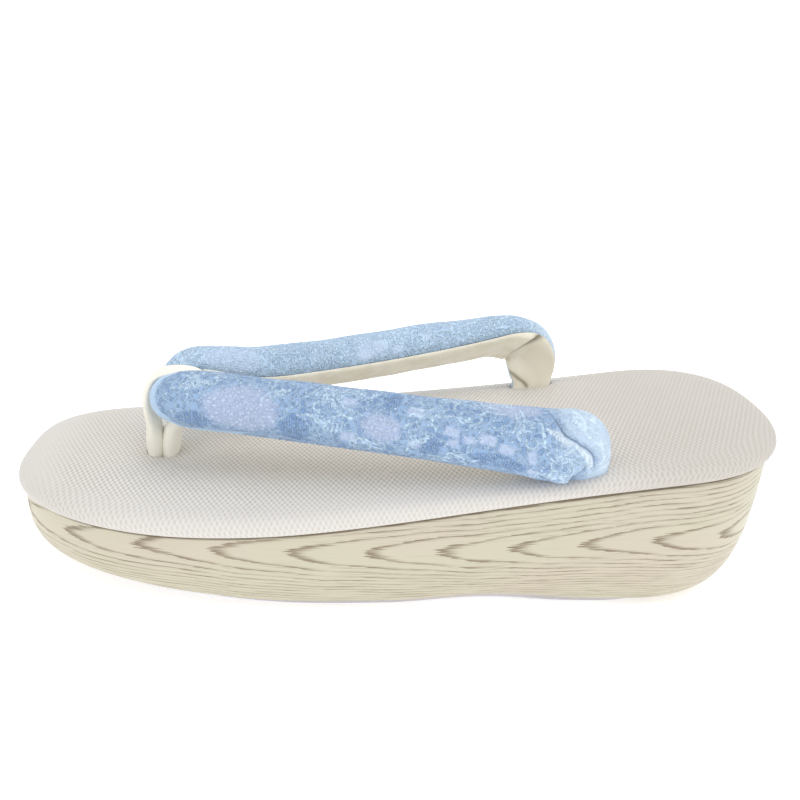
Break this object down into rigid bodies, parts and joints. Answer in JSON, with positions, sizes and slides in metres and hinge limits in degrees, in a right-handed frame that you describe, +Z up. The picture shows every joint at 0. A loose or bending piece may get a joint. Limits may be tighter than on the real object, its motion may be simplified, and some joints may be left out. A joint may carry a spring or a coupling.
{
  "type": "zori sandal",
  "caption": "Wedge-platform zori sandal with a cushioned woven insole, a wood-grain wrapped side and a padded lace thong strap.",
  "frame": {"origin": "on the floor, below the middle of the sole's length and width", "axes": "+X points to the toe, +Y to the wearer's left, +Z up"},
  "size_m": [0.24, 0.0936, 0.0724],
  "materials": {
    "wood_grain_vinyl": "cream vinyl printed with a grey-olive wood grain, low sheen",
    "insole_weave": "off-white woven vinyl over a soft pad",
    "outsole_rubber": "pale grey rubber sheet",
    "strap_lace": "pale blue corded lace over padding",
    "cream_lining": "smooth cream lining cloth"
  },
  "bodies": {
    "root": {"platform": "wood_grain_vinyl", "insole": "insole_weave", "outsole": "outsole_rubber", "straps": "strap_lace", "strap_lining_left": "cream_lining", "strap_lining_right": "cream_lining", "toe_post": "cream_lining"}
  },
  "joints": []
}
